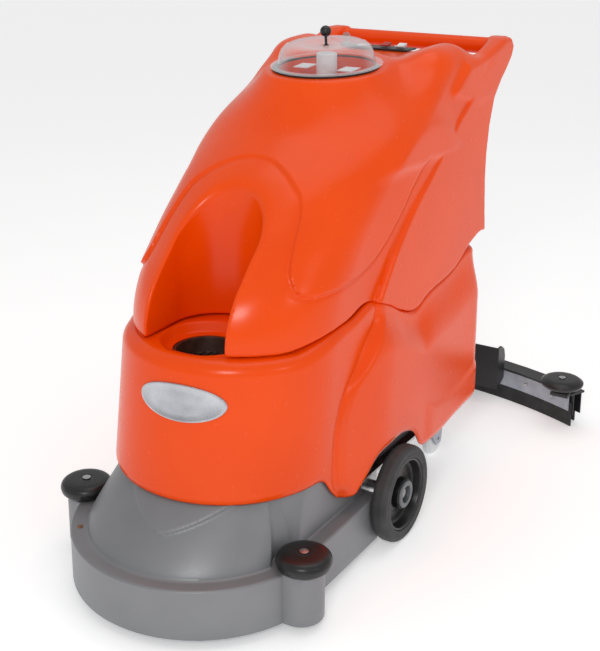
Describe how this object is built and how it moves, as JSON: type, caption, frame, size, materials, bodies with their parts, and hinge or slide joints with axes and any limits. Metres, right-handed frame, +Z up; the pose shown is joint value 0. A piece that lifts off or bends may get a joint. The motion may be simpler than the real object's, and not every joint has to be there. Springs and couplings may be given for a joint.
{
  "type": "walk-behind scrubber-dryer",
  "caption": "Walk-behind floor scrubber-dryer with a round brush deck, stacked tanks, integral handle, dome lid, drive wheels and a curved rear squeegee.",
  "frame": {"origin": "on the floor under the middle of the bounding box", "axes": "+Z up, -Y the machine's front where the brush deck is, +Y the operator's end, +X the flank shown with the badge to its left"},
  "size_m": [0.85, 1.38, 1.0175],
  "materials": {
    "orange_tank": "gloss",
    "cast_deck": "satin",
    "steel": "satin",
    "zinc": "satin",
    "black_plastic": "satin",
    "black_gloss": "gloss",
    "rubber": "matte",
    "tyre": "matte",
    "natural_plastic": "satin",
    "clear_dome": "gloss",
    "silver_badge": "satin",
    "white_plastic": "satin",
    "red_plastic": "gloss",
    "bristles": "matte"
  },
  "bodies": {
    "chassis": {"brush_deck": "cast_deck", "brush_motor": "black_plastic", "lower_tank": "orange_tank", "solution_tank": "natural_plastic", "filler_strainer": "black_plastic", "badge": "silver_badge", "chassis_frame": "steel", "axle": "steel", "battery_left": "black_plastic", "battery_right": "black_plastic", "battery_link": "steel", "vacuum_motor": "cast_deck", "tank_hinge_pin": "steel", "tank_hinge_lower": "steel", "lift_pin": "steel", "front_roller_bolt_left": "steel", "front_roller_bolt_right": "steel"},
    "brush": {"brush_plate": "black_plastic", "bristle_ring": "bristles"},
    "wheel_left": {"tyre_left": "tyre", "rim_left": "black_gloss", "bearing_left": "cast_deck"},
    "wheel_right": {"tyre_right": "tyre", "rim_right": "black_gloss", "bearing_right": "cast_deck"},
    "caster_left": {"caster_fork_left": "zinc"},
    "caster_left_wheel": {"caster_wheel_left": "white_plastic"},
    "caster_right": {"caster_fork_right": "zinc"},
    "caster_right_wheel": {"caster_wheel_right": "white_plastic"},
    "recovery_tank": {"upper_tank": "orange_tank", "suction_inlet": "black_plastic", "drain_outlet": "black_plastic", "dome_gasket": "rubber", "standpipe": "natural_plastic", "float_cage": "white_plastic", "control_panel": "black_plastic", "key_barrel": "steel", "charge_gauge": "white_plastic", "tank_hinge_upper": "steel"},
    "lid": {"dome_lid": "clear_dome", "lid_knob": "black_gloss"},
    "float": {"float": "natural_plastic"},
    "key": {"key": "steel"},
    "brush_rocker": {"brush_switch": "red_plastic"},
    "vacuum_rocker": {"vacuum_switch": "white_plastic"},
    "squeegee": {"squeegee_body": "black_plastic", "squeegee_panel": "zinc", "front_blade": "rubber", "rear_blade": "rubber", "rear_clamp": "steel", "squeegee_carrier": "black_plastic", "rear_roller_bolt_left": "steel", "rear_roller_bolt_right": "steel"},
    "knob_left": {"squeegee_knob_left": "black_plastic"},
    "knob_right": {"squeegee_knob_right": "black_plastic"},
    "pedal": {"lift_pedal": "black_plastic"},
    "front_bumper_left": {"front_roller_left": "black_gloss"},
    "front_bumper_right": {"front_roller_right": "black_gloss"},
    "rear_bumper_left": {"rear_roller_left": "black_gloss"},
    "rear_bumper_right": {"rear_roller_right": "black_gloss"}
  },
  "joints": [
    {"name": "wheel_left_spin", "type": "hinge", "parent": "chassis", "child": "wheel_left", "pos_m": [0.2675, -0.125, 0.1], "axis": [1, 0, 0], "continuous": true},
    {"name": "caster_left_swivel", "type": "hinge", "parent": "chassis", "child": "caster_left", "pos_m": [0.165, 0.22, 0.1], "axis": [0, 0, 1], "continuous": true},
    {"name": "caster_left_roll", "type": "hinge", "parent": "caster_left", "child": "caster_left_wheel", "pos_m": [0.165, 0.25, 0.04], "axis": [1, 0, 0], "continuous": true},
    {"name": "front_bumper_left_spin", "type": "hinge", "parent": "chassis", "child": "front_bumper_left", "pos_m": [0.256, -0.483, 0.128], "axis": [0, 0, 1], "continuous": true},
    {"name": "rear_bumper_left_spin", "type": "hinge", "parent": "squeegee", "child": "rear_bumper_left", "pos_m": [0.373, 0.551, 0.118], "axis": [0, 0, 1], "continuous": true},
    {"name": "knob_left_turn", "type": "hinge", "parent": "squeegee", "child": "knob_left", "pos_m": [0.11, 0.66, 0.1], "axis": [0, 0, 1], "continuous": true},
    {"name": "wheel_right_spin", "type": "hinge", "parent": "chassis", "child": "wheel_right", "pos_m": [-0.2675, -0.125, 0.1], "axis": [1, 0, 0], "continuous": true},
    {"name": "caster_right_swivel", "type": "hinge", "parent": "chassis", "child": "caster_right", "pos_m": [-0.165, 0.22, 0.1], "axis": [0, 0, 1], "continuous": true},
    {"name": "caster_right_roll", "type": "hinge", "parent": "caster_right", "child": "caster_right_wheel", "pos_m": [-0.165, 0.25, 0.04], "axis": [1, 0, 0], "continuous": true},
    {"name": "front_bumper_right_spin", "type": "hinge", "parent": "chassis", "child": "front_bumper_right", "pos_m": [-0.256, -0.483, 0.128], "axis": [0, 0, 1], "continuous": true},
    {"name": "rear_bumper_right_spin", "type": "hinge", "parent": "squeegee", "child": "rear_bumper_right", "pos_m": [-0.373, 0.551, 0.118], "axis": [0, 0, 1], "continuous": true},
    {"name": "knob_right_turn", "type": "hinge", "parent": "squeegee", "child": "knob_right", "pos_m": [-0.11, 0.66, 0.1], "axis": [0, 0, 1], "continuous": true},
    {"name": "brush_spin", "type": "hinge", "parent": "chassis", "child": "brush", "pos_m": [0, -0.435, 0.05], "axis": [0, 0, 1], "continuous": true},
    {"name": "tank_tilt", "type": "hinge", "parent": "chassis", "child": "recovery_tank", "pos_m": [0, 0.322, 0.5], "axis": [-1, 0, 0], "range_deg": [0, 60]},
    {"name": "lid_lift", "type": "slide", "parent": "recovery_tank", "child": "lid", "axis": [0, -0.0785, 0.9969], "range_m": [0, 0.15]},
    {"name": "float_rise", "type": "slide", "parent": "recovery_tank", "child": "float", "axis": [0, 0, 1], "range_m": [0, 0.02]},
    {"name": "key_turn", "type": "hinge", "parent": "recovery_tank", "child": "key", "pos_m": [-0.09, 0.265, 0.96], "axis": [0, 0, 1], "range_deg": [0, 90]},
    {"name": "brush_rocker_tip", "type": "hinge", "parent": "recovery_tank", "child": "brush_rocker", "pos_m": [0.01, 0.265, 0.9528], "axis": [1, 0, 0], "range_deg": [0, 8]},
    {"name": "vacuum_rocker_tip", "type": "hinge", "parent": "recovery_tank", "child": "vacuum_rocker", "pos_m": [0.048, 0.265, 0.9528], "axis": [1, 0, 0], "range_deg": [0, 8]},
    {"name": "pedal_press", "type": "hinge", "parent": "chassis", "child": "pedal", "pos_m": [0, 0.34, 0.126], "axis": [-1, 0, 0], "range_deg": [0, 24]},
    {"name": "squeegee_lift", "type": "hinge", "parent": "chassis", "child": "squeegee", "pos_m": [0, 0.287, 0.102], "axis": [1, 0, 0], "range_deg": [0, 12]}
  ],
  "couplings": [
    {"joint": "squeegee_lift", "follows": "pedal_press", "ratio": 0.5}
  ]
}
